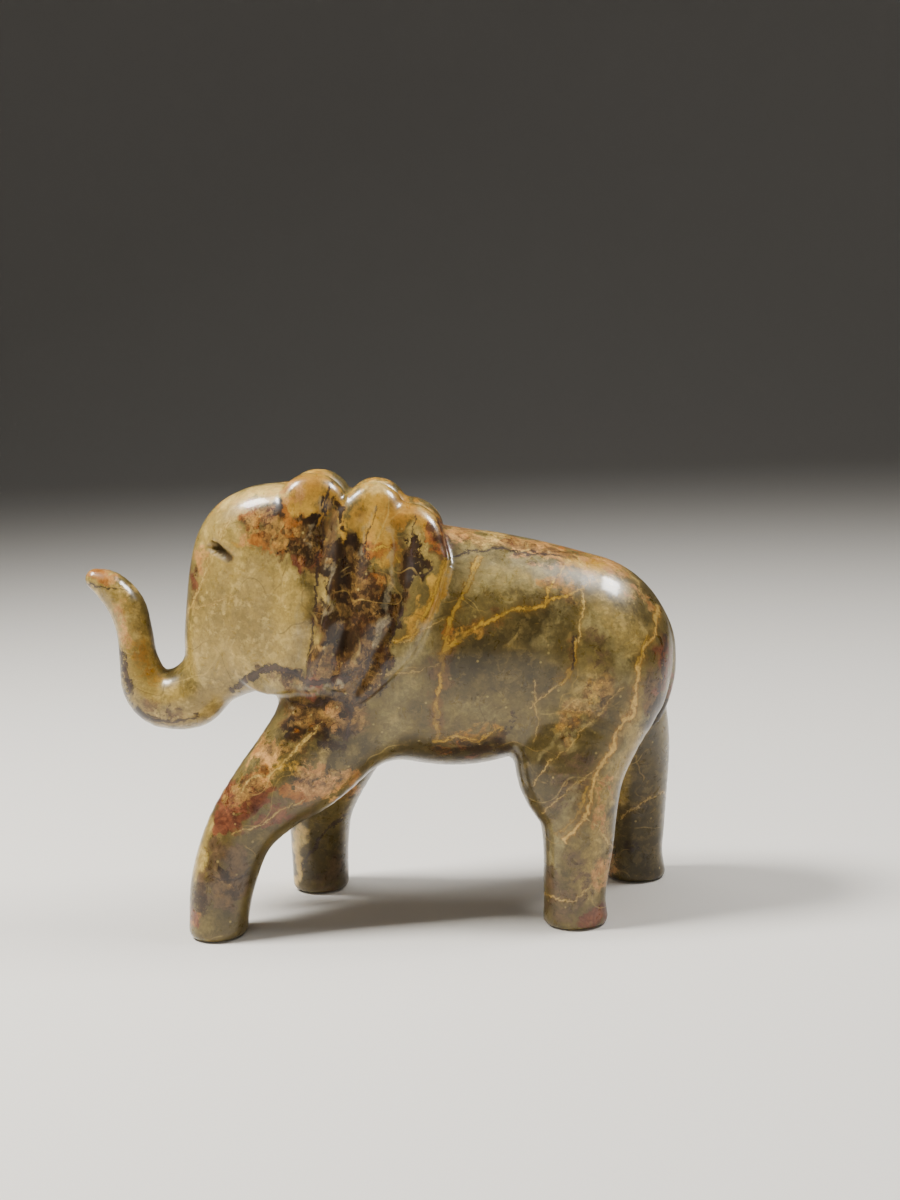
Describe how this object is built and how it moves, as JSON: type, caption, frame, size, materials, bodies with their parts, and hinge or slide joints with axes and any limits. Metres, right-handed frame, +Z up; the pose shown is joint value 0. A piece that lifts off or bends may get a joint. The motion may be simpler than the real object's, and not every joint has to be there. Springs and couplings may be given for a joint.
{
  "type": "onyx elephant sculpture",
  "caption": "Walking elephant with raised trunk and scalloped, fluted ears, carved from one block of polished veined onyx; stands on its feet.",
  "frame": {"origin": "on the floor, under the middle of the length and of the width", "axes": "+Z up, -X the way the head points, -Y the elephant's left side, which the picture shows"},
  "size_m": [0.1643, 0.0576, 0.125],
  "materials": {
    "onyx": "polished, veined"
  },
  "bodies": {
    "root": {"elephant": "onyx"}
  },
  "joints": []
}
